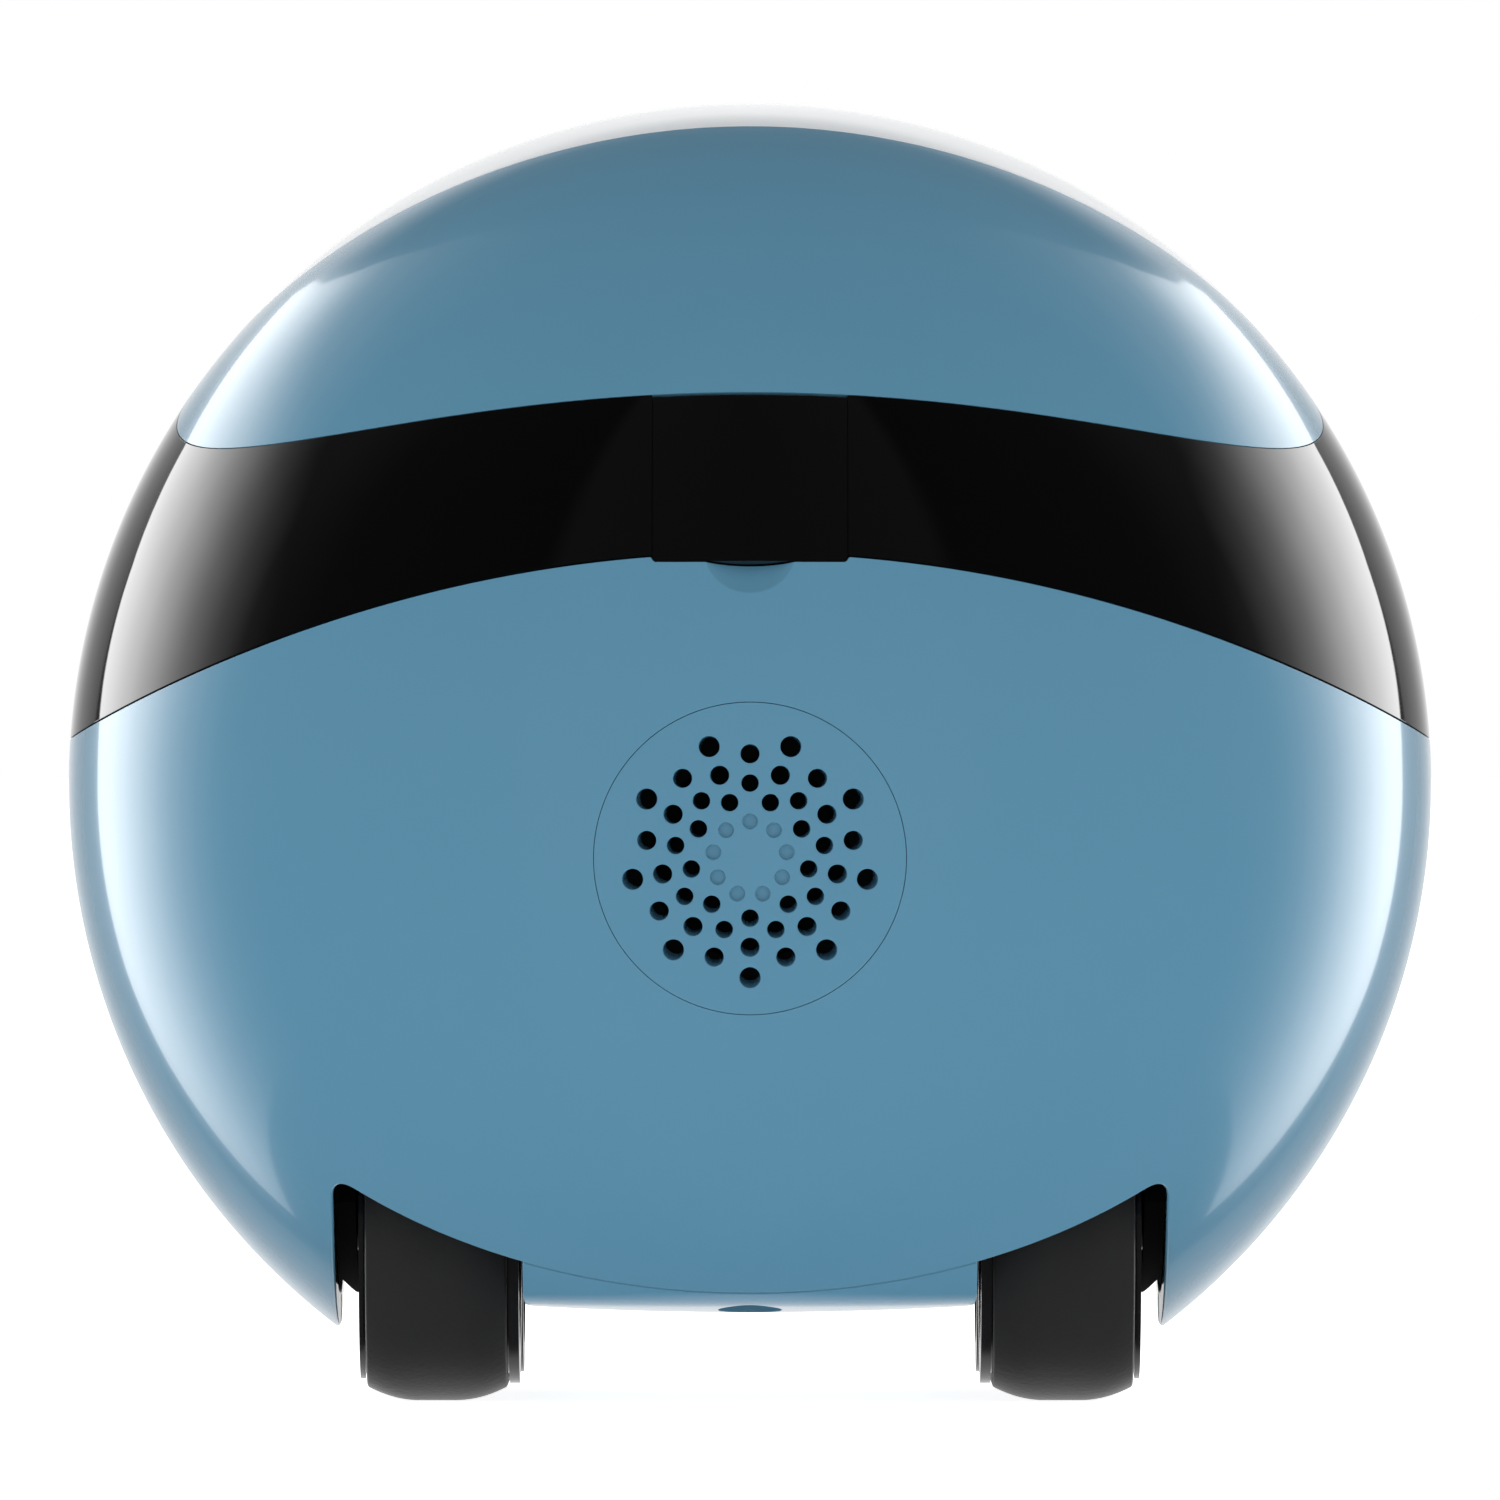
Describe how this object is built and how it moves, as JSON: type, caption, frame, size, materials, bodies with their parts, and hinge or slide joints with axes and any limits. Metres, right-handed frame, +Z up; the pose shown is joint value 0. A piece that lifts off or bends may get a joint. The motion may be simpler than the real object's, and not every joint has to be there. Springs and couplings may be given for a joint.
{
  "type": "educational coding robot",
  "caption": "Palm-sized ball-shaped coding robot on two rubber tracks, with a camera visor, a rear loudspeaker, a port door, a base button and geared drive motors.",
  "frame": {"origin": "on the floor, midway between the two tracks, under the middle of the ball", "axes": "+Z up; the camera face looks along -Y and the loudspeaker along +Y; the wheel axles lie along X"},
  "size_m": [0.096, 0.096, 0.091],
  "materials": {
    "white_plastic": "satin moulded plastic",
    "blue_plastic": "satin dusty blue moulded plastic",
    "black_gloss": "polished black",
    "black_plastic": "fine moulded texture",
    "wheel_plastic": "smooth moulded",
    "black_rubber": "matte",
    "foam_rubber": "soft foam",
    "plated_steel": "plated",
    "motor_can": "drawn can",
    "gear_brass": "machined",
    "circuit_board": "green solder mask",
    "chip_black": "moulded epoxy",
    "ivory_plastic": "moulded",
    "dark_clear_plastic": "dark translucent",
    "light_diffuser": "milky",
    "battery_wrap": "shrink wrap",
    "lens_glass": "coated"
  },
  "bodies": {
    "robot": {"front_shell": "white_plastic", "forehead_cover": "white_plastic", "face_visor": "black_gloss", "rear_band": "black_gloss", "top_cover": "blue_plastic", "rear_shell": "blue_plastic", "base_plate": "blue_plastic", "speaker_grille": "blue_plastic", "port_board": "circuit_board", "usb_port": "plated_steel", "card_slot": "plated_steel", "speaker_gasket": "foam_rubber", "speaker_frame": "black_plastic", "speaker_cone": "black_plastic", "speaker_magnet": "plated_steel", "camera_lens": "lens_glass", "lens_ring": "black_gloss", "camera_barrel": "black_plastic", "camera_board": "circuit_board", "infrared_leds": "dark_clear_plastic", "status_light": "light_diffuser", "microphone": "plated_steel", "head_frame": "black_plastic", "power_switch": "plated_steel", "switch_board": "circuit_board", "battery_pack": "battery_wrap", "battery_strap": "black_plastic", "main_board": "circuit_board", "board_chips": "chip_black", "board_sockets": "ivory_plastic", "chassis": "black_plastic", "base_screws": "plated_steel", "shell_screws": "plated_steel", "board_screws": "plated_steel", "left_belt": "black_rubber", "right_belt": "black_rubber", "left_axles": "plated_steel", "right_axles": "plated_steel", "left_track_guard": "black_plastic", "right_track_guard": "black_plastic", "left_gear_pin": "plated_steel", "right_gear_pin": "plated_steel", "left_gear_plate": "black_plastic", "right_gear_plate": "black_plastic", "left_motor": "motor_can", "right_motor": "motor_can"},
    "door": {"port_door": "black_gloss"},
    "button": {"power_button": "blue_plastic"},
    "left_drive": {"left_drive_wheel": "wheel_plastic"},
    "right_drive": {"right_drive_wheel": "wheel_plastic"},
    "left_idler": {"left_idler_wheel": "wheel_plastic"},
    "right_idler": {"right_idler_wheel": "wheel_plastic"},
    "left_gear": {"left_stepped_gear": "ivory_plastic"},
    "right_gear": {"right_stepped_gear": "ivory_plastic"},
    "left_rotor": {"left_motor_shaft": "plated_steel", "left_motor_pinion": "gear_brass"},
    "right_rotor": {"right_motor_shaft": "plated_steel", "right_motor_pinion": "gear_brass"}
  },
  "joints": [
    {"name": "door_hinge", "type": "hinge", "parent": "robot", "child": "door", "pos_m": [0, 0.03977, 0.06925], "axis": [1, 0, 0], "range_deg": [0, 110]},
    {"name": "button_press", "type": "slide", "parent": "robot", "child": "button", "axis": [0, 0, 1], "range_m": [0, 0.0008], "stiffness_N_per_m": 400, "springref_m": -0.0005},
    {"name": "left_drive_spin", "type": "hinge", "parent": "robot", "child": "left_drive", "pos_m": [0.0218, 0.0126, 0.0114], "axis": [1, 0, 0], "continuous": true},
    {"name": "left_idler_spin", "type": "hinge", "parent": "robot", "child": "left_idler", "pos_m": [0.0218, -0.0126, 0.0114], "axis": [1, 0, 0], "continuous": true},
    {"name": "left_gear_spin", "type": "hinge", "parent": "robot", "child": "left_gear", "pos_m": [0.015, 0.00971, 0.01485], "axis": [1, 0, 0], "continuous": true},
    {"name": "left_rotor_spin", "type": "hinge", "parent": "robot", "child": "left_rotor", "pos_m": [0.012, 0.00222, 0.01353], "axis": [1, 0, 0], "continuous": true},
    {"name": "right_drive_spin", "type": "hinge", "parent": "robot", "child": "right_drive", "pos_m": [-0.0218, 0.0126, 0.0114], "axis": [1, 0, 0], "continuous": true},
    {"name": "right_idler_spin", "type": "hinge", "parent": "robot", "child": "right_idler", "pos_m": [-0.0218, -0.0126, 0.0114], "axis": [1, 0, 0], "continuous": true},
    {"name": "right_gear_spin", "type": "hinge", "parent": "robot", "child": "right_gear", "pos_m": [-0.015, 0.00971, 0.01485], "axis": [1, 0, 0], "continuous": true},
    {"name": "right_rotor_spin", "type": "hinge", "parent": "robot", "child": "right_rotor", "pos_m": [-0.012, 0.00222, 0.01353], "axis": [1, 0, 0], "continuous": true}
  ],
  "couplings": [
    {"joint": "left_idler_spin", "follows": "left_drive_spin", "ratio": 1},
    {"joint": "left_gear_spin", "follows": "left_drive_spin", "ratio": 2.5},
    {"joint": "left_rotor_spin", "follows": "left_drive_spin", "ratio": -7},
    {"joint": "right_idler_spin", "follows": "right_drive_spin", "ratio": 1},
    {"joint": "right_gear_spin", "follows": "right_drive_spin", "ratio": 2.5},
    {"joint": "right_rotor_spin", "follows": "right_drive_spin", "ratio": -7}
  ]
}
